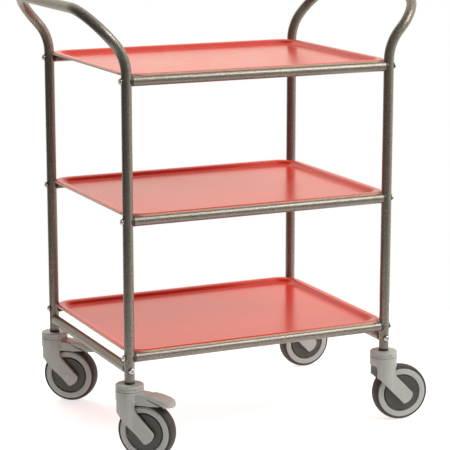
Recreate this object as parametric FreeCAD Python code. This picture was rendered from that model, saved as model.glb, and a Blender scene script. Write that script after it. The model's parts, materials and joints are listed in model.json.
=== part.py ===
"""Three-tier tray trolley: two bent-tube end frames joined by eight rails, three loose trays with a
raised rim, and four swivel castors, of which the two at the left end carry a brake pedal.

Frame: X runs along the trolley from the left end frame to the right one, Y from front to rear, Z up.
The origin lies on the floor under the middle of the bounding box. The left castors trail forwards, so
the middle of the four legs lies FRAME_Y behind it. Sizes are in millimetres.
"""
import FreeCAD, Part
import math
import os

V = FreeCAD.Vector
X_AXIS, Y_AXIS, Z_AXIS = V(1, 0, 0), V(0, 1, 0), V(0, 0, 1)

# ---- driving dimensions of the frame -------------------------------------------------------------
TUBE_R = 11.0            # 22 mm round tube throughout
TUBE_WALL = 1.5
LEG_X = 304.0            # leg axes, from the middle of the trolley
LEG_Y = 230.0
FRAME_Y = 26.5           # middle of the legs, behind the origin
LEG_FOOT_Z = 165.6       # lower end of the leg tubes
BOTTOM_RAIL_Z = 216.0
TIER_PITCH = 289.0
TIERS = {"bottom": BOTTOM_RAIL_Z, "middle": BOTTOM_RAIL_Z + TIER_PITCH, "top": BOTTOM_RAIL_Z + 2 * TIER_PITCH}
CROSS_RAIL_Z = 190.0

# The handle: each leg leans outwards on one bend, then turns through a corner into the hand bar.
LEAN_START_Z = TIERS["top"] + 12.0
LEAN_R = 96.0
LEAN_DEG = 41.7
LEAN_RUN = 5.0           # straight length between the lean bend and the corner
CORNER_R = 86.0

# ---- rail joints ---------------------------------------------------------------------------------
RAIL_END_GAP = 12.5      # leg axis to the cut end of a rail
PLUG_R = TUBE_R - TUBE_WALL - 0.05
PLUG_DEPTH = 28.0
SADDLE_ROOT = 5.0        # how far round the leg the saddle flange reaches, from the leg axis
SCREW_R = 3.0
SCREW_HEAD_R = 6.5
SCREW_HEAD_H = 3.6
SCREW_HOLE_R = 3.3
WASHER_R = 6.9
WASHER_FACE = 12.4       # leg axis to the washer's outer face
NUT_FLATS = 10.0
NUT_H = 5.0
CLEAR = 0.05             # between pieces that touch curve on curve

# ---- trays ---------------------------------------------------------------------------------------
TRAY_HALF_X = 308.0
TRAY_HALF_Y = 237.0
TRAY_CORNER_R = 48.0
TRAY_T = 3.2
TRAY_FLOOR_Z = 4.8       # upper side of the floor, from the rail axis
RIM_WIDTH = 29.0         # outer edge to the flat floor

# ---- castors -------------------------------------------------------------------------------------
WHEEL_R = 62.5
TRAIL = 39.0
AXLE_Z = WHEEL_R
HOUSING_R = 30.0
CAP_TOP_Z = 160.0
CAP_BOTTOM_Z = 147.8
FORK_TOP_Z = 147.0
FORK_CHIN_Z = 109.0      # where the upright front of the fork turns back towards the axle
FORK_ROOF_Z = 128.6      # underside of the solid head of the fork
CHEEK_OUT = 25.5
CHEEK_IN = 18.6
CHEEK_ROOT_R = 22.0       # hollow curve from the round head to the flat cheeks
FORK_END_R = 23.5        # rounded end of each cheek, about the axle
WHEEL_CLEAR_R = 66.0
STEM_R = 5.0
STEM_HEAD_R = 12.0
BEARING_SEAT_R = 14.0
AXLE_R = 4.0
AXLE_CAP_R = 7.7
RIM_R = 55.0             # outer edge of the pale wheel rim
RIM_FACE = 16.4
COVER_R = 41.9
TYRE_ROOM = 17.0         # half width of the fork's hollow over the tyre
PEDAL_PIVOT = (40.0, 134.6)
PEDAL_OUT = 21.5
CASTORS = {              # name: (x, y, swivel angle in degrees, has a brake)
    "front_left": (-LEG_X, -LEG_Y, -46.0, True),
    "rear_left": (-LEG_X, LEG_Y, -41.0, True),
    "front_right": (LEG_X, -LEG_Y, -8.0, False),
    "rear_right": (LEG_X, LEG_Y, 0.0, False),
}


# ---- helpers -------------------------------------------------------------------------------------
def rod(r, start, axis, length):
    """A solid cylinder from start along axis."""
    return Part.makeCylinder(r, length, V(*start), axis)


def block(x0, x1, y0, y1, z0, z1):
    """A box between two corners."""
    return Part.makeBox(x1 - x0, y1 - y0, z1 - z0, V(x0, y0, z0))


def line(a, b):
    return Part.makeLine(V(*a), V(*b))


def arc(a, middle, b):
    return Part.Arc(V(*a), V(*middle), V(*b)).toShape()


def outline(points, plane):
    """A closed wire through 2-D points. A point written as ('arc', p, q) bends through p to q."""
    place = {"xz": lambda p: (p[0], 0, p[1]), "xy": lambda p: (p[0], p[1], 0)}[plane]
    edges = []
    here = points[0]
    for step in list(points[1:]) + [points[0]]:
        if step[0] == "arc":
            edges.append(arc(place(here), place(step[1]), place(step[2])))
            here = step[2]
        elif step != here:
            edges.append(line(place(here), place(step)))
            here = step
    return Part.Wire(edges)


def slab(points, y0, y1):
    """An outline in the XZ plane, as thick as y0 to y1."""
    face = Part.Face(outline(points, "xz"))
    face.translate(V(0, y0, 0))
    return face.extrude(V(0, y1 - y0, 0))


def turned(points, centre=(0, 0, 0), axis=Z_AXIS):
    """An outline in the XZ plane turned about a vertical axis, or about Y once laid over."""
    solid = Part.Face(outline(points, "xz")).revolve(V(0, 0, 0), Z_AXIS, 360)
    if axis == Y_AXIS:
        solid.rotate(V(0, 0, 0), X_AXIS, -90)
    solid.translate(V(*centre))
    return solid


def fuse(shapes):
    joined = shapes[0].multiFuse(list(shapes[1:])) if len(shapes) > 1 else shapes[0]
    return joined.removeSplitter()


def softened(shape, radius, wanted):
    """Rounds the edges that wanted() picks, one at a time where the whole set will not go."""
    picked = [e for e in shape.Edges if wanted(e)]
    try:
        done = shape.makeFillet(radius, picked)
        if done.isValid() and done.Volume > 0:
            return done
    except Part.OCCError:
        pass
    return shape


def save(name, shapes):
    """Writes one node: every piece is a closed solid."""
    solids = [s.copy() for shape in (shapes if isinstance(shapes, list) else [shapes]) for s in shape.Solids]
    for solid in solids:
        solid.translate(V(0, FRAME_Y, 0))
    for solid in solids:
        if not solid.isValid() or solid.Volume <= 0:
            print("not a sound solid:", name, solid.Volume)
    whole = Part.makeCompound(solids) if len(solids) > 1 else solids[0]
    whole.exportStep(f"parts/{name}.step")
    print(f"{name}: {len(solids)} solid(s), {sum(s.Volume for s in solids) / 1000:.1f} cm3")


# ---- end frames ----------------------------------------------------------------------------------
def hoop_path(side):
    """Centreline of one end frame, from the front foot over the hand bar to the rear foot."""
    lean = math.radians(LEAN_DEG)
    up = V(side * math.sin(lean), 0, math.cos(lean))        # direction of the leaning stretch
    x_leg = side * LEG_X

    def leg(y):
        start = V(x_leg, y, LEG_FOOT_Z)
        bend = V(x_leg, y, LEAN_START_Z)
        centre = bend + V(side * LEAN_R, 0, 0)

        def on_bend(angle):
            return centre + V(-side * LEAN_R * math.cos(angle), 0, LEAN_R * math.sin(angle))

        return start, bend, on_bend(lean / 2), on_bend(lean), on_bend(lean) + up * LEAN_RUN

    edges = []
    corner_ends = []
    for y, inward in ((-LEG_Y, 1), (LEG_Y, -1)):
        start, bend, middle, lean_end, corner = leg(y)
        across = V(0, inward, 0)
        hub = corner + across * CORNER_R
        half = math.radians(45)
        corner_mid = hub - across * CORNER_R * math.cos(half) + up * CORNER_R * math.sin(half)
        corner_end = hub + up * CORNER_R
        run = [Part.makeLine(start, bend), Part.Arc(bend, middle, lean_end).toShape(),
               Part.makeLine(lean_end, corner), Part.Arc(corner, corner_mid, corner_end).toShape()]
        edges.append(run)
        corner_ends.append(corner_end)
    bar = Part.makeLine(corner_ends[0], corner_ends[1])
    return Part.Wire(edges[0] + [bar] + [e for e in reversed(edges[1])])


def end_frame(side):
    """One bent tube: two legs and the hand bar, drilled for the rail screws."""
    path = hoop_path(side)
    foot = V(side * LEG_X, -LEG_Y, LEG_FOOT_Z)

    def swept(r):
        ring = Part.Wire(Part.makeCircle(r, foot, Z_AXIS))
        return path.makePipeShell([ring], True, True)

    tube = swept(TUBE_R).cut(swept(TUBE_R - TUBE_WALL))
    reach = TUBE_R + 4
    for y in (-LEG_Y, LEG_Y):
        for z in TIERS.values():
            tube = tube.cut(rod(SCREW_HOLE_R, (side * LEG_X - reach, y, z), X_AXIS, 2 * reach))
        tube = tube.cut(rod(SCREW_HOLE_R, (side * LEG_X, y - reach, CROSS_RAIL_Z), Y_AXIS, 2 * reach))
    return tube


# ---- rails and the joint at each of their ends ---------------------------------------------------
def rail(length):
    """A straight tube along +X, centred on the origin."""
    outer = rod(TUBE_R, (-length / 2, 0, 0), X_AXIS, length)
    return outer.cut(rod(TUBE_R - TUBE_WALL, (-length / 2 - 1, 0, 0), X_AXIS, length + 2))


def leg_bore(r):
    """A long upright cylinder on the leg axis, to hollow a saddle."""
    return rod(r, (0, 0, -20), Z_AXIS, 40)


def end_plug():
    """Saddle flange and plug of one rail end: the leg stands on the origin, the rail runs along +X."""
    flange = rod(TUBE_R, (SADDLE_ROOT, 0, 0), X_AXIS, RAIL_END_GAP - SADDLE_ROOT)
    plug = rod(PLUG_R, (RAIL_END_GAP - 1, 0, 0), X_AXIS, PLUG_DEPTH + 1)
    body = flange.fuse(plug).cut(leg_bore(TUBE_R + CLEAR))
    body = body.cut(rod(SCREW_HOLE_R, (0, 0, 0), X_AXIS, 60))
    return body.cut(nut_blank(NUT_FLATS + 0.1, NUT_H + 0.2)).removeSplitter()


def nut_blank(flats, height):
    """A hexagonal prism in the inner end of the plug."""
    r = flats / math.sqrt(3)
    inner_end = RAIL_END_GAP + PLUG_DEPTH
    corners = [(inner_end - height, r * math.cos(math.radians(60 * k)), r * math.sin(math.radians(60 * k)))
               for k in range(7)]
    return Part.Face(Part.makePolygon([V(*c) for c in corners])).extrude(V(height, 0, 0))


def rail_nut():
    return nut_blank(NUT_FLATS, NUT_H).cut(rod(SCREW_R + CLEAR, (0, 0, 0), X_AXIS, 60))


def saddle_washer():
    """Hollowed washer between the screw head and the leg."""
    ring = rod(WASHER_R, (-WASHER_FACE, 0, 0), X_AXIS, WASHER_FACE - SADDLE_ROOT)
    ring = ring.cut(leg_bore(TUBE_R + CLEAR)).cut(rod(SCREW_HOLE_R, (-20, 0, 0), X_AXIS, 20))
    return softened(ring, 0.8, lambda e: e.BoundBox.XMax < -WASHER_FACE + 0.01 and e.Length > 40)


def rail_screw():
    """Pan-head screw with a cross recess. The head sits outside the leg, at -X."""
    tip = RAIL_END_GAP + PLUG_DEPTH + 1.5
    shank = rod(SCREW_R, (-WASHER_FACE - 0.5, 0, 0), X_AXIS, tip + WASHER_FACE + 0.5)
    top = WASHER_FACE + SCREW_HEAD_H
    head = rod(SCREW_HEAD_R, (-top, 0, 0), X_AXIS, SCREW_HEAD_H)
    head = softened(head, 2.2, lambda e: e.BoundBox.XMax < -top + 0.01)
    screw = shank.fuse(head)
    slot = 3.5
    for turn in (45, 135):
        arm = block(-top - 1, -top + 2.2, -slot, slot, -0.8, 0.8)
        arm.rotate(V(0, 0, 0), X_AXIS, turn)
        screw = screw.cut(arm)
    cone = Part.makeCone(2.0, 0.4, 2.8, V(-top - 0.01, 0, 0), X_AXIS)
    return screw.cut(cone).removeSplitter()


def joint_places():
    """Every rail end: (x, y, z, heading of the rail in degrees)."""
    places = []
    for z in TIERS.values():
        for y in (-LEG_Y, LEG_Y):
            places += [(-LEG_X, y, z, 0), (LEG_X, y, z, 180)]
    for x in (-LEG_X, LEG_X):
        places += [(x, -LEG_Y, CROSS_RAIL_Z, 90), (x, LEG_Y, CROSS_RAIL_Z, -90)]
    return places


def at_joints(piece):
    """A copy of the piece at every rail end."""
    copies = []
    for x, y, z, heading in joint_places():
        copy = piece.copy()
        copy.rotate(V(0, 0, 0), Z_AXIS, heading)
        copy.translate(V(x, y, z))
        copies.append(copy)
    return copies


# ---- trays ---------------------------------------------------------------------------------------
def rim_section():
    """Closed section of the rim as (inset from the outer edge, height above the rail axis)."""
    under = TRAY_FLOOR_Z - TRAY_T
    return [
        (0.0, 9.4), ("arc", (3.6, 10.75), (8.0, 11.15)), (13.0, 11.15), ("arc", (15.1, 10.4), (16.6, 8.9)),
        (20.6, 4.5), ("arc", (22.9, 2.4), (26.0, under)), (RIM_WIDTH, under),
        (RIM_WIDTH, TRAY_FLOOR_Z), (28.0, TRAY_FLOOR_Z), ("arc", (25.4, 5.1), (23.2, 6.3)),
        (17.6, 12.3), ("arc", (13.6, 14.0), (9.0, 14.35)), ("arc", (4.2, 14.2), (0.8, 13.2)), (0.0, 12.4),
    ]


def tray(rail_z):
    """Moulded laminate tray whose lip lies on the front and rear rails."""
    section = Part.Face(outline(rim_section(), "xz"))
    straight_x = TRAY_HALF_X - TRAY_CORNER_R
    straight_y = TRAY_HALF_Y - TRAY_CORNER_R
    pieces = []

    # The section's inset grows inwards, so each copy is turned to face the middle of the tray.
    for heading, reach, run in ((0, TRAY_HALF_X, straight_y), (180, TRAY_HALF_X, straight_y),
                                (90, TRAY_HALF_Y, straight_x), (270, TRAY_HALF_Y, straight_x)):
        side = section.copy()
        side.translate(V(-reach, -run, 0))
        bar = side.extrude(V(0, 2 * run, 0))
        bar.rotate(V(0, 0, 0), Z_AXIS, heading)
        pieces.append(bar)
    for sx, sy, first in ((-1, -1, 0), (1, -1, 90), (1, 1, 180), (-1, 1, 270)):
        corner = section.copy()
        corner.translate(V(-TRAY_CORNER_R, 0, 0))
        quarter = corner.revolve(V(0, 0, 0), Z_AXIS, 90)
        quarter.rotate(V(0, 0, 0), Z_AXIS, first)
        quarter.translate(V(sx * straight_x, sy * straight_y, 0))
        pieces.append(quarter)
    inner_r = TRAY_CORNER_R - RIM_WIDTH
    z0 = TRAY_FLOOR_Z - TRAY_T
    floor_x = block(-straight_x - inner_r, straight_x + inner_r, -straight_y, straight_y, z0, TRAY_FLOOR_Z)
    floor_y = block(-straight_x, straight_x, -straight_y - inner_r, straight_y + inner_r, z0, TRAY_FLOOR_Z)
    discs = [rod(inner_r, (sx * straight_x, sy * straight_y, z0), Z_AXIS, TRAY_T)
             for sx in (-1, 1) for sy in (-1, 1)]
    whole = fuse(pieces + [floor_x, floor_y] + discs)
    for y in (-LEG_Y, LEG_Y):
        whole = whole.cut(rod(TUBE_R + CLEAR, (-LEG_X, y, 0), X_AXIS, 2 * LEG_X))
    whole.translate(V(0, 0, rail_z))
    return whole


# ---- castors: everything is made about the swivel axis, trailing along +X ------------------------
def leg_plug():
    """Nylon plug in the foot of the leg, cross-drilled for the cross-rail screw."""
    body = rod(TUBE_R, (0, 0, CAP_TOP_Z), Z_AXIS, LEG_FOOT_Z - CAP_TOP_Z)
    body = body.fuse(rod(PLUG_R, (0, 0, LEG_FOOT_Z - 1), Z_AXIS, 45))
    body = body.cut(rod(STEM_R, (0, 0, CAP_TOP_Z - 1), Z_AXIS, 23))
    return body.cut(rod(SCREW_HOLE_R, (0, -20, CROSS_RAIL_Z), Y_AXIS, 40)).removeSplitter()


def castor_stem():
    """Steel stud with the flange that carries the fork."""
    stud = rod(STEM_R, (0, 0, FORK_ROOF_Z + 2), Z_AXIS, CAP_TOP_Z + 21 - FORK_ROOF_Z - 2)
    flange = rod(STEM_HEAD_R, (0, 0, FORK_ROOF_Z + 1.4), Z_AXIS, 3.6)
    return stud.fuse(flange).removeSplitter()


def castor_cap():
    """Fixed round cover over the swivel bearing, grooved round its side, with a thrust boss beneath."""
    disc = rod(HOUSING_R, (0, 0, CAP_BOTTOM_Z), Z_AXIS, CAP_TOP_Z - CAP_BOTTOM_Z)
    disc = softened(disc, 2.4, lambda e: e.BoundBox.ZMin > CAP_TOP_Z - 0.01)
    disc = softened(disc, 0.7, lambda e: e.BoundBox.ZMax < CAP_BOTTOM_Z + 0.01)
    groove = rod(HOUSING_R + 1, (0, 0, 153.4), Z_AXIS, 0.7).cut(rod(HOUSING_R - 0.5, (0, 0, 153), Z_AXIS, 2))
    slot = block(-2.6, 2.6, -HOUSING_R - 1, 3 - HOUSING_R, 152.9, 154.6)
    boss = rod(BEARING_SEAT_R - 1, (0, 0, FORK_TOP_Z + CLEAR), Z_AXIS, 2)
    cap = disc.fuse(boss)
    for tool in (rod(STEM_R, (0, 0, 100), Z_AXIS, 100), groove, slot):
        cap = cap.cut(tool)
    return cap.removeSplitter()


def swivel_bearing():
    """Bearing ring pressed into the head of the fork."""
    ring = rod(BEARING_SEAT_R, (0, 0, FORK_ROOF_Z + 5.1), Z_AXIS, FORK_TOP_Z - FORK_ROOF_Z - 5.1)
    return ring.cut(rod(STEM_R + CLEAR, (0, 0, 100), Z_AXIS, 100))


def fork_side():
    """Side outline of the fork: upright head, then cheeks that rake back to the axle."""
    def on_end(angle):
        a = math.radians(angle)
        return (TRAIL + FORK_END_R * math.cos(a), AXLE_Z + FORK_END_R * math.sin(a))

    return [(-HOUSING_R - 1, FORK_TOP_Z), (-HOUSING_R - 1, FORK_CHIN_Z), (-14.0, 96.6), on_end(-83),
            ("arc", on_end(-41), on_end(1)), (24.4, 102.6),
            ("arc", (19.9, 111.0), (19.6, 120.0)), ("arc", (22.8, 129.0), (HOUSING_R + 1, 135.5)),
            (HOUSING_R + 1, FORK_TOP_Z)]


def canopy_side():
    """Side outline of the roof over the wheel on a braked castor."""
    return [(12.0, 120.7), (74.6, 123.3), (74.6, 125.0), (72.0, 127.4), (47.6, 136.6), (47.4, 140.6),
            ("arc", (30.0, 142.6), (12.0, 143.2)), (10.0, 143.2), (10.0, 120.7)]


def canopy_side_below_skirt():
    """Side outline of the part of the canopy that stays clear below the pedal's skirts."""
    return [(46.9, 120.7), (74.4, 123.2), (74.4, 124.1), (47.3, 135.7), (46.9, 135.7)]


def cheek_root(side):
    """Plan outline of the hollow curve between the round head and the flat cheek on one side."""
    reach = math.sqrt((HOUSING_R + CHEEK_ROOT_R) ** 2 - (CHEEK_OUT + CHEEK_ROOT_R) ** 2)
    share = HOUSING_R / (HOUSING_R + CHEEK_ROOT_R)
    lean = 0.5 * math.atan2(reach, CHEEK_OUT + CHEEK_ROOT_R)
    start = (reach * share, side * (CHEEK_OUT + CHEEK_ROOT_R) * share)
    bend = (reach - CHEEK_ROOT_R * math.sin(lean), side * (CHEEK_OUT + CHEEK_ROOT_R * (1 - math.cos(lean))))
    return [start, ("arc", bend, (reach, side * CHEEK_OUT)), (reach * share, side * CHEEK_OUT)]


def fork(braked):
    """Moulded fork: a round head that flattens into two raked cheeks, with a front opening."""
    solid = slab(fork_side(), -HOUSING_R - 1, HOUSING_R + 1)
    flats = block(0, 80, -CHEEK_OUT, CHEEK_OUT, 0, 134)
    blend = fuse([Part.makeCone(HOUSING_R + 12, HOUSING_R, 26, V(0, 0, 108), Z_AXIS), rod(90, (0, 0, 0), Z_AXIS, 108.01)])
    envelope = fuse([rod(HOUSING_R, (0, 0, 0), Z_AXIS, 200), flats.common(blend)])
    roots = [Part.Face(outline(cheek_root(side), "xy")).extrude(V(0, 0, 134)) for side in (-1, 1)]
    roots = [root.common(blend).common(solid) for root in roots]
    solid = softened(solid.common(envelope), 2.0, on_cheek_edge)
    solid = fuse([solid] + roots)
    solid = softened(solid, 0.7, lambda e: e.BoundBox.ZMin > FORK_TOP_Z - 0.01)
    if braked:
        near = slab(canopy_side(), -PEDAL_OUT, PEDAL_OUT).common(block(0, 47.5, -40, 40, 0, 200))
        near = softened(near, 3.0, lambda e: e.BoundBox.ZMin > 139.5 and e.BoundBox.YLength < 0.1 and e.Length > 20)
        under = slab(canopy_side(), 2.6 - PEDAL_OUT, PEDAL_OUT - 2.6).common(block(47, 80, -40, 40, 0, 200))
        flush = slab(canopy_side_below_skirt(), -PEDAL_OUT, PEDAL_OUT)
        solid = fuse([solid, near, under, flush])
    wheel_room = rod(WHEEL_CLEAR_R, (TRAIL, -TYRE_ROOM, AXLE_Z), Y_AXIS, 2 * TYRE_ROOM)
    below = block(-12, 90, -CHEEK_IN, CHEEK_IN, 0, 110)
    mouth = block(-HOUSING_R - 2, -8, -20.3, 20.3, 0, FORK_ROOF_Z)
    mouth = softened(mouth, 4.5, lambda e: e.BoundBox.ZMin > FORK_ROOF_Z - 0.01 and e.BoundBox.XLength > 5)
    seat = rod(BEARING_SEAT_R, (0, 0, FORK_ROOF_Z + 5), Z_AXIS, 40)
    head_room = rod(STEM_HEAD_R + 2, (0, 0, 100), Z_AXIS, FORK_ROOF_Z + 5.5 - 100)
    bore = rod(AXLE_R, (TRAIL, -40, AXLE_Z), Y_AXIS, 80)
    recesses = [rod(AXLE_CAP_R, (TRAIL, y, AXLE_Z), Y_AXIS, 5) for y in (-CHEEK_OUT - 2, CHEEK_OUT - 3)]
    tools = [wheel_room, below, mouth, seat, head_room, bore] + recesses
    if braked:
        tools += [pedal_room(), brake_pin()]
    for tool in tools:
        solid = solid.cut(tool)
    return solid.removeSplitter()


def on_cheek_edge(edge):
    """Edges of the raked cheeks' outer faces, below the round head."""
    box = edge.BoundBox
    flat = abs(abs(box.YMin) - CHEEK_OUT) < 0.02 and box.YLength < 0.02
    return flat and box.ZMax < 115 and box.XMax > 30


def pedal_side():
    """Side outline of the pedal: a tread that curves down to a blunt tip."""
    return [(48.0, 141.6), ("arc", (70.0, 138.3), (89.0, 132.4)), ("arc", (98.2, 128.4), (102.0, 124.6)),
            ("arc", (101.8, 121.9), (98.6, 120.9)), (94.0, 121.2), (78.0, 125.0), (76.4, 127.4),
            (49.0, 136.4), (48.0, 137.4)]


def pedal_hollow():
    """Side outline of the space inside the pedal, above the canopy."""
    return [(40.0, 120.0), (76.6, 120.0), (76.6, 132.4), ("arc", (66.0, 136.0), (48.0, 139.2)), (40.0, 139.8)]


def pedal_arm():
    """Side outline of the arm inside the canopy, from the pivot to the tread."""
    return [(35.6, 137.6), (35.6, 131.6), (40.0, 130.4), (52.0, 131.6), (74.0, 124.4), (84.0, 122.6),
            (84.0, 128.0), (76.0, 134.0), (50.0, 138.2), (48.6, 137.4), (40.0, 137.8)]


def pedal_room():
    """Slot in the canopy for the pedal's arm, clear over its travel, with a roof over the pivot."""
    return fuse([block(33.0, 47.5, -9.0, 9.0, 120.0, 138.6), block(47.0, 90.0, -9.0, 9.0, 115.0, 150.0)])


def brake_pedal():
    """Foot pedal: a hollow tread with skirts beside the canopy, on an arm that runs into it."""
    tread = slab(pedal_side(), -PEDAL_OUT, PEDAL_OUT)
    plan = Part.Face(outline([(48.0, -PEDAL_OUT), (83.0, -PEDAL_OUT), ("arc", (96.2, -15.0), (102.2, 0.0)),
                              ("arc", (96.2, 15.0), (83.0, PEDAL_OUT)), (48.0, PEDAL_OUT)], "xy"))
    tread = tread.common(plan.extrude(V(0, 0, 200)))
    for radius in (4.5, 3.0, 1.5):
        rounder = softened(tread, radius, on_tread_top)
        if rounder.Volume < tread.Volume - 1:
            tread = rounder
            break
    inner = PEDAL_OUT - 2.2
    tread = tread.cut(slab(pedal_hollow(), -inner, inner))
    arm = slab(pedal_arm(), -8.4, 8.4)
    pedal = fuse([tread, arm])
    return pedal.cut(rod(2.55, (PEDAL_PIVOT[0], -30, PEDAL_PIVOT[1]), Y_AXIS, 60)).removeSplitter()


def on_tread_top(edge):
    """The long upper edges of the tread, down to its tip."""
    middle = edge.valueAt((edge.FirstParameter + edge.LastParameter) / 2)
    above = middle.z > 139 - 0.3 * (middle.x - 49)
    return above and edge.BoundBox.XLength > 3 and abs(middle.y) > 1


def brake_pin():
    return rod(2.5, (PEDAL_PIVOT[0], -PEDAL_OUT + 0.4, PEDAL_PIVOT[1]), Y_AXIS, 2 * PEDAL_OUT - 0.8)


def brake_shoe():
    """Tongue under the pedal that bears on the tyre."""
    return slab([(76.5, 123.95), (76.5, 118.4), (78.5, 116.4), (82.0, 116.0), (83.0, 117.0), (83.0, 122.78)],
                -7.0, 7.0)


def wheel_rim():
    """Moulded wheel centre: hub, web and the pale outer ring."""
    half = [(11.0, -13.0), (15.0, -13.0), (15.0, -9.0), (COVER_R, -9.0), (COVER_R + 1, -RIM_FACE),
            (RIM_R - 3, -RIM_FACE), (RIM_R, -RIM_FACE + 1.4), (RIM_R, RIM_FACE - 1.4),
            (RIM_R - 3, RIM_FACE), (COVER_R + 1, RIM_FACE), (COVER_R, 9.0), (15.0, 9.0), (15.0, 13.0),
            (11.0, 13.0)]
    rim = turned(half, (TRAIL, 0, AXLE_Z), Y_AXIS)
    stop = turned([(8.0, -6.0), (11.5, -6.0), (11.5, 6.0), (8.0, 6.0)], (TRAIL, 0, AXLE_Z), Y_AXIS)
    return fuse([rim, stop])


def tyre():
    """Soft tread bonded round the rim."""
    side = RIM_FACE - 1.4
    section = [(RIM_R, -side), ("arc", (58.9, -14.2), (61.0, -11.4)), ("arc", (WHEEL_R, 0.0), (61.0, 11.4)),
               ("arc", (58.9, 14.2), (RIM_R, side))]
    return turned(section, (TRAIL, 0, AXLE_Z), Y_AXIS)


def wheel_covers():
    """Dished thread guards, one on each face of the wheel."""
    section = [(16.0, 9.0), (16.0, 15.4), (COVER_R - 3.2, 15.4), (COVER_R - 2.2, 14.4), (COVER_R - 2.2, 9.0)]
    near = turned(section, (TRAIL, 0, AXLE_Z), Y_AXIS)
    far = near.copy().mirror(V(0, 0, 0), Y_AXIS)
    return [near, far]


def wheel_bearings():
    """Two ball-bearing rings in the hub."""
    return [turned([(AXLE_R + CLEAR, y), (11.0, y), (11.0, y + 7), (AXLE_R + CLEAR, y + 7)],
                   (TRAIL, 0, AXLE_Z), Y_AXIS) for y in (-13.0, 6.0)]


def axle():
    """Axle with the two shoulder bushes that centre the wheel between the cheeks."""
    bolt = rod(AXLE_R, (TRAIL, -CHEEK_OUT + 3, AXLE_Z), Y_AXIS, 2 * CHEEK_OUT - 6)
    bushes = [rod(7.0, (TRAIL, y, AXLE_Z), Y_AXIS, 5.4) for y in (-CHEEK_IN + 0.05, CHEEK_IN - 5.45)]
    return fuse([bolt] + bushes)


def axle_caps():
    """Push-in discs over the axle ends, with a rounded outer edge."""
    cap = rod(AXLE_CAP_R, (TRAIL, -CHEEK_OUT - 0.5, AXLE_Z), Y_AXIS, 3.5)
    cap = softened(cap, 0.7, lambda e: e.BoundBox.YMax < -CHEEK_OUT - 0.49)
    return [cap, cap.copy().mirror(V(0, 0, 0), Y_AXIS)]


def placed(shapes, castor):
    """Copies of the shapes at a castor, swivelled to its angle."""
    x, y, angle, _ = CASTORS[castor]
    copies = []
    for shape in shapes if isinstance(shapes, list) else [shapes]:
        copy = shape.copy()
        copy.rotate(V(0, 0, 0), Z_AXIS, angle)
        copy.translate(V(x, y, 0))
        copies.append(copy)
    return copies


# ---- build ---------------------------------------------------------------------------------------
def build_frame():
    for name, side in (("left", -1), ("right", 1)):
        save(f"{name}_end_frame", end_frame(side))
    for tier, z in TIERS.items():
        for name, y in (("front", -LEG_Y), ("rear", LEG_Y)):
            bar = rail(2 * (LEG_X - RAIL_END_GAP))
            bar.translate(V(0, y, z))
            save(f"{tier}_{name}_rail", bar)
    for name, x in (("left", -LEG_X), ("right", LEG_X)):
        bar = rail(2 * (LEG_Y - RAIL_END_GAP))
        bar.rotate(V(0, 0, 0), Z_AXIS, 90)
        bar.translate(V(x, 0, CROSS_RAIL_Z))
        save(f"{name}_cross_rail", bar)
    save("rail_end_plugs", at_joints(end_plug()))
    save("rail_nuts", at_joints(rail_nut()))
    save("saddle_washers", at_joints(saddle_washer()))
    save("rail_screws", at_joints(rail_screw()))
    for tier, z in TIERS.items():
        save(f"{tier}_tray", tray(z))


def build_castors():
    save("castor_leg_plugs", [s for c in CASTORS for s in placed_upright(leg_plug(), c)])
    save("castor_stems", [s for c in CASTORS for s in placed_upright(castor_stem(), c)])
    save("castor_caps", [s for c in CASTORS for s in placed_upright(castor_cap(), c)])
    forks = {True: fork(True), False: fork(False)}
    for name, (_, _, _, braked) in CASTORS.items():
        save(f"{name}_fork", placed(forks[braked], name))
        save(f"{name}_swivel_bearing", placed(swivel_bearing(), name))
        save(f"{name}_axle", placed(axle(), name))
        save(f"{name}_axle_caps", placed(axle_caps(), name))
        save(f"{name}_wheel_rim", placed(wheel_rim(), name))
        save(f"{name}_tyre", placed(tyre(), name))
        save(f"{name}_wheel_covers", placed(wheel_covers(), name))
        save(f"{name}_wheel_bearings", placed(wheel_bearings(), name))
        if braked:
            save(f"{name}_brake_pedal", placed(brake_pedal(), name))
            save(f"{name}_brake_pin", placed(brake_pin(), name))
            save(f"{name}_brake_shoe", placed(brake_shoe(), name))


def placed_upright(shape, castor):
    """A copy at a castor that stays square to the frame."""
    x, y, _, _ = CASTORS[castor]
    copy = shape.copy()
    copy.translate(V(x, y, 0))
    return [copy]


os.makedirs("parts", exist_ok=True)
build_frame()
build_castors()
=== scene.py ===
"""Looks for the three-tier tray trolley: materials, softened edges, floor, lights and camera."""

import json
import math

import bpy
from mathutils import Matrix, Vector

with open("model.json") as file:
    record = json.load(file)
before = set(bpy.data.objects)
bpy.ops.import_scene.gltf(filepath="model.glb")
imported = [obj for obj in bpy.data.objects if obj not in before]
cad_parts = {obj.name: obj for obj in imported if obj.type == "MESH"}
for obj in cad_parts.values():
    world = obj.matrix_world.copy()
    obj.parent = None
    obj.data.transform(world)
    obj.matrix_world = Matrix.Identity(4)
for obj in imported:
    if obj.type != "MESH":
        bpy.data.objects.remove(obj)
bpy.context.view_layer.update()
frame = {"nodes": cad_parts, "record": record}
NODES = frame["nodes"]
RECORD = frame["record"]
SLOT_OF = {p["node"]: p["material_slot"] for p in RECORD["subparts"]}

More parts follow.
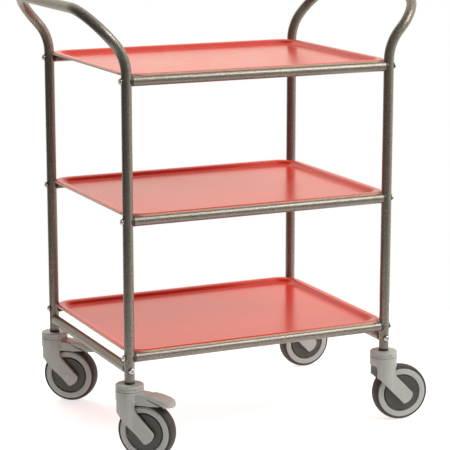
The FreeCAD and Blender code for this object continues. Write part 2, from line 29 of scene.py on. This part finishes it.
# Metres. The tray outline marks where the laminate's cut edge starts.
TRAY_HALF_X, TRAY_HALF_Y, TRAY_CORNER_R = 0.308, 0.237, 0.048
TRAY_CENTRE_Y = 0.0265
CUT_EDGE_DEPTH = 0.0005
MOULD_GRAIN = 0.00004
EDGE_BEVEL = 0.0005
WELD_GAP = 0.00001
FLOOR_R = 1.1
FLOOR_SIDES = 96
FLOOR_DROP = 0.0002        # keeps the base just clear of the tyres
LAMP_TARGET = (0.0, 0.0, 0.45)
CAMERA_PLACE = (-1.680, -3.656 + TRAY_CENTRE_Y, 1.275)
CAMERA_DOWN_DEG = 11.9
CAMERA_YAW_DEG = -24.97
SOFTENED_ENDINGS = ("_fork", "_brake_pedal", "_axle_caps", "castor_caps")


# ---- node helpers --------------------------------------------------------------------------------
class Tree:
    """Builds one material's node tree."""

    def __init__(self, name):
        self.material = bpy.data.materials.new(name)
        self.material.use_nodes = True
        self.nodes = self.material.node_tree.nodes
        self.links = self.material.node_tree.links
        self.shader = self.nodes["Principled BSDF"]
        self.place = self.add("ShaderNodeTexCoord").outputs["Object"]

    def add(self, kind, **settings):
        node = self.nodes.new(kind)
        for key, value in settings.items():
            setattr(node, key, value)
        return node

    def feed(self, socket, value):
        """A socket takes either another node's output or a plain value."""
        if isinstance(value, bpy.types.NodeSocket):
            self.links.new(value, socket)
        else:
            socket.default_value = value

    def noise(self, scale, detail=2.0, rough=0.5):
        node = self.add("ShaderNodeTexNoise")
        self.feed(node.inputs["Vector"], self.place)
        self.feed(node.inputs["Scale"], scale)
        self.feed(node.inputs["Detail"], detail)
        self.feed(node.inputs["Roughness"], rough)
        return node.outputs["Fac"]

    def cells(self, scale, smooth):
        node = self.add("ShaderNodeTexVoronoi", feature="SMOOTH_F1")
        self.feed(node.inputs["Vector"], self.place)
        self.feed(node.inputs["Scale"], scale)
        self.feed(node.inputs["Smoothness"], smooth)
        return node.outputs["Distance"]

    def ramp(self, fac, *stops):
        """Colour ramp: stops are (position, colour or grey)."""
        node = self.add("ShaderNodeValToRGB")
        band = node.color_ramp
        while len(band.elements) < len(stops):
            band.elements.new(0.5)
        for element, (position, colour) in zip(band.elements, stops):
            element.position = position
            grey = isinstance(colour, (int, float))
            element.color = (colour, colour, colour, 1) if grey else (*colour, 1)
        self.feed(node.inputs["Fac"], fac)
        return node.outputs["Color"]

    def mix(self, fac, a, b):
        node = self.add("ShaderNodeMix", data_type="RGBA", blend_type="MIX")
        self.feed(node.inputs[0], fac)
        for socket, value in ((node.inputs[6], a), (node.inputs[7], b)):
            self.feed(socket, (*value, 1) if isinstance(value, tuple) else value)
        return node.outputs[2]

    def math(self, operation, a, b=0.0):
        node = self.add("ShaderNodeMath", operation=operation)
        self.feed(node.inputs[0], a)
        self.feed(node.inputs[1], b)
        return node.outputs[0]

    def bump(self, *layers):
        """Layers are (height, distance in metres), stacked into one normal."""
        normal = None
        for height, distance in layers:
            node = self.add("ShaderNodeBump")
            self.feed(node.inputs["Height"], height)
            self.feed(node.inputs["Distance"], distance)
            self.feed(node.inputs["Strength"], 1.0)
            if normal is not None:
                self.links.new(normal, node.inputs["Normal"])
            normal = node.outputs["Normal"]
        self.links.new(normal, self.shader.inputs["Normal"])

    def finish(self, **sockets):
        """Feeds the shader's sockets by short name and returns the material."""
        names = {"color": "Base Color", "rough": "Roughness", "metal": "Metallic", "ior": "IOR",
                 "coat": "Coat Weight", "coat_rough": "Coat Roughness", "specular": "Specular IOR Level"}
        for key, value in sockets.items():
            if isinstance(value, tuple):
                value = (*value, 1)
            self.feed(self.shader.inputs[names[key]], value)
        return self.material


# ---- materials -----------------------------------------------------------------------------------
def hammered_coat():
    """Grey-brown hammered metallic coating: small dark dimples with lighter ridges between them."""
    t = Tree("hammered_coat")
    dimples = t.cells(420.0, 0.6)
    grain = t.noise(900.0, 3.0, 0.6)
    drift = t.noise(14.0, 2.0)
    speckle = t.math("ADD", t.math("MULTIPLY", dimples, 0.75), t.math("MULTIPLY", grain, 0.55))
    flecks = t.ramp(speckle, (0.28, (0.105, 0.090, 0.074)), (0.52, (0.185, 0.160, 0.134)),
                    (0.76, (0.290, 0.256, 0.218)))
    colour = t.mix(t.ramp(drift, (0.35, 0.0), (0.65, 0.20)), flecks, (0.175, 0.150, 0.124))
    t.bump((dimples, 0.00024), (grain, 0.00006))
    rough = t.ramp(grain, (0.3, 0.28), (0.7, 0.40))
    return t.finish(color=colour, metal=0.60, rough=rough, coat=0.05, coat_rough=0.20)


def laminate():
    """Red pressed laminate with a faint mottle, and the pale core showing on its cut edge."""
    t = Tree("red_laminate")
    centred = t.add("ShaderNodeVectorMath", operation="SUBTRACT")
    t.feed(centred.inputs[0], t.place)
    centred.inputs[1].default_value = (0.0, TRAY_CENTRE_Y, 0.0)
    size = t.add("ShaderNodeVectorMath", operation="ABSOLUTE")
    t.feed(size.inputs[0], centred.outputs["Vector"])
    apart = t.add("ShaderNodeSeparateXYZ")
    t.feed(apart.inputs[0], size.outputs["Vector"])
    over_x = t.math("MAXIMUM", t.math("SUBTRACT", apart.outputs["X"], TRAY_HALF_X - TRAY_CORNER_R), 0.0)
    over_y = t.math("MAXIMUM", t.math("SUBTRACT", apart.outputs["Y"], TRAY_HALF_Y - TRAY_CORNER_R), 0.0)
    squares = t.math("ADD", t.math("MULTIPLY", over_x, over_x), t.math("MULTIPLY", over_y, over_y))
    reach = t.math("SQRT", squares)
    cut_edge = t.math("GREATER_THAN", reach, TRAY_CORNER_R - CUT_EDGE_DEPTH)
    mottle = t.noise(7.0, 3.0, 0.55)
    grain = t.noise(520.0, 2.0, 0.5)
    red = t.mix(t.ramp(mottle, (0.3, 0.0), (0.7, 1.0)), (0.600, 0.034, 0.019), (0.630, 0.043, 0.025))
    core = t.ramp(t.noise(260.0, 2.0), (0.35, (0.46, 0.34, 0.25)), (0.65, (0.58, 0.45, 0.34)))
    t.bump((grain, 0.00002), (t.noise(30.0, 1.0), 0.00006))
    rough = t.ramp(mottle, (0.3, 0.20), (0.7, 0.25))
    return t.finish(color=t.mix(cut_edge, red, core), rough=rough, ior=1.5)


def zinc():
    """Bright zinc-plated steel."""
    t = Tree("bright_zinc")
    grain = t.noise(600.0, 3.0)
    colour = t.mix(t.noise(60.0), (0.52, 0.52, 0.50), (0.72, 0.71, 0.68))
    t.bump((grain, 0.00003))
    return t.finish(color=colour, metal=1.0, rough=t.ramp(grain, (0.3, 0.22), (0.7, 0.38)))


def black_nylon():
    """Near-black nylon with a fine grain."""
    t = Tree("black_nylon")
    grain = t.noise(1400.0, 2.0)
    colour = t.mix(t.noise(90.0), (0.030, 0.027, 0.024), (0.048, 0.043, 0.038))
    t.bump((grain, 0.00004))
    return t.finish(color=colour, rough=0.48)


def moulded(name, dark, light, rough):
    """Injection-moulded plastic with a fine spark-eroded grain."""
    t = Tree(name)
    grain = t.noise(1500.0, 2.0, 0.6)
    drift = t.noise(22.0, 2.0)
    colour = t.mix(t.ramp(drift, (0.3, 0.0), (0.7, 1.0)), dark, light)
    t.bump((grain, MOULD_GRAIN), (t.noise(110.0), 0.00006))
    return t.finish(color=colour, rough=t.ramp(grain, (0.3, rough - 0.05), (0.7, rough + 0.06)))


def tread():
    """Grey thermoplastic rubber, lightly scuffed all over."""
    t = Tree("grey_tread")
    scuffs = t.noise(75.0, 4.0, 0.65)
    grain = t.noise(1100.0, 2.0)
    colour = t.mix(t.ramp(scuffs, (0.38, 0.0), (0.68, 1.0)), (0.040, 0.034, 0.029), (0.060, 0.052, 0.044))
    t.bump((grain, 0.00006), (scuffs, 0.00010))
    return t.finish(color=colour, rough=t.ramp(scuffs, (0.3, 0.52), (0.7, 0.66)), specular=0.28)


MATERIALS = {
    "hammered_powder_coat": hammered_coat(),
    "red_laminate": laminate(),
    "zinc_steel": zinc(),
    "black_nylon": black_nylon(),
    "pale_grey_plastic": moulded("pale_grey_plastic", (0.356, 0.352, 0.331), (0.396, 0.391, 0.369), 0.46),
    "dark_grey_plastic": moulded("dark_grey_plastic", (0.040, 0.038, 0.033), (0.052, 0.049, 0.043), 0.40),
    "grey_tread": tread(),
}


def dress(node):
    """Gives a CAD node the material that its slot in the record names."""
    mesh = node.data
    mesh.materials.clear()
    mesh.materials.append(MATERIALS[SLOT_OF[node.name]])


def soften(node):
    """Welds the imported seams and rounds the sharp edges a little."""
    weld = node.modifiers.new("weld", "WELD")
    weld.merge_threshold = WELD_GAP
    bevel = node.modifiers.new("bevel", "BEVEL")
    bevel.width = EDGE_BEVEL
    bevel.segments = 2
    bevel.limit_method = "ANGLE"
    bevel.angle_limit = math.radians(35)
    bevel.harden_normals = True
    bevel.use_clamp_overlap = True


for name, node in NODES.items():
    dress(node)
    if name.endswith(SOFTENED_ENDINGS):
        soften(node)


# ---- floor, light and camera ---------------------------------------------------------------------
def floor():
    """A round pale base, bright enough to merge with the white surround."""
    mesh = bpy.data.meshes.new("floor")
    angles = [2 * math.pi * k / FLOOR_SIDES for k in range(FLOOR_SIDES)]
    rim = [(FLOOR_R * math.cos(angle), FLOOR_R * math.sin(angle), 0) for angle in angles]
    mesh.from_pydata(rim, [], [tuple(range(FLOOR_SIDES))])
    base = bpy.data.objects.new("floor", mesh)
    bpy.context.scene.collection.objects.link(base)
    t = Tree("floor")
    t.shader.inputs["Emission Color"].default_value = (1.0, 1.0, 1.0, 1)
    t.shader.inputs["Emission Strength"].default_value = 0.68
    t.bump((t.noise(40.0), 0.00005))
    colour = t.mix(t.noise(3.0), (0.55, 0.55, 0.55), (0.58, 0.58, 0.58))
    mesh.materials.append(t.finish(color=colour, rough=0.75))
    base.location.z = -FLOOR_DROP


def area_light(name, place, size, power, mirrored=True):
    """A soft lamp aimed at the trolley. One that is not mirrored leaves no highlight."""
    lamp = bpy.data.lights.new(name, "AREA")
    lamp.shape = "RECTANGLE"
    lamp.size, lamp.size_y = size
    lamp.energy = power
    holder = bpy.data.objects.new(name, lamp)
    holder.location = place
    holder.rotation_euler = (Vector(LAMP_TARGET) - Vector(place)).to_track_quat("-Z", "Y").to_euler()
    holder.visible_glossy = mirrored
    bpy.context.scene.collection.objects.link(holder)


def studio():
    """White surround behind and to the right, falling to dim in front and to the left, plus soft lamps."""
    world = bpy.data.worlds.new("studio")
    world.use_nodes = True
    nodes, links = world.node_tree.nodes, world.node_tree.links
    surround = nodes["Background"]
    place = nodes.new("ShaderNodeTexCoord")
    along = nodes.new("ShaderNodeVectorMath")
    along.operation = "DOT_PRODUCT"
    along.inputs[1].default_value = (0.41, 0.29, 0.0)
    links.new(place.outputs["Generated"], along.inputs[0])
    level = nodes.new("ShaderNodeMath")
    level.operation = "ADD"
    level.inputs[1].default_value = 0.5
    links.new(along.outputs["Value"], level.inputs[0])
    falloff = nodes.new("ShaderNodeValToRGB")
    band = falloff.color_ramp
    band.elements[0].position, band.elements[0].color = 0.38, (0.07, 0.067, 0.062, 1)
    band.elements[1].position, band.elements[1].color = 0.64, (1.0, 0.975, 0.86, 1)
    links.new(level.outputs[0], falloff.inputs["Fac"])
    links.new(falloff.outputs["Color"], surround.inputs["Color"])
    surround.inputs["Strength"].default_value = 1.15
    seen = nodes.new("ShaderNodeBackground")
    seen.inputs["Color"].default_value = (1.0, 1.0, 1.0, 1)
    path = nodes.new("ShaderNodeLightPath")
    either = nodes.new("ShaderNodeMixShader")
    links.new(path.outputs["Is Camera Ray"], either.inputs[0])
    links.new(surround.outputs[0], either.inputs[1])
    links.new(seen.outputs[0], either.inputs[2])
    links.new(either.outputs[0], nodes["World Output"].inputs["Surface"])
    bpy.context.scene.world = world
    area_light("key", (1.9, -2.5, 2.9), (1.8, 1.8), 88.0)
    area_light("fill", (-1.3, -2.2, 3.2), (2.0, 2.0), 26.0, mirrored=False)
    area_light("back", (-0.6, 3.2, 2.1), (2.6, 1.4), 70.0, mirrored=False)
    area_light("top", (0.2, 0.3, 3.4), (2.5, 2.5), 8.0, mirrored=False)


def camera():
    """Looks down on the trolley from the front left, with a long lens."""
    lens = bpy.data.cameras.new("camera")
    lens.lens = 147.2
    lens.sensor_width = 36.0
    lens.clip_end = 60.0
    holder = bpy.data.objects.new("camera", lens)
    holder.location = CAMERA_PLACE
    holder.rotation_euler = (math.radians(90 - CAMERA_DOWN_DEG), 0, math.radians(CAMERA_YAW_DEG))
    bpy.context.scene.collection.objects.link(holder)
    bpy.context.scene.camera = holder


floor()
studio()
camera()
bpy.context.scene.view_settings.view_transform = "Standard"
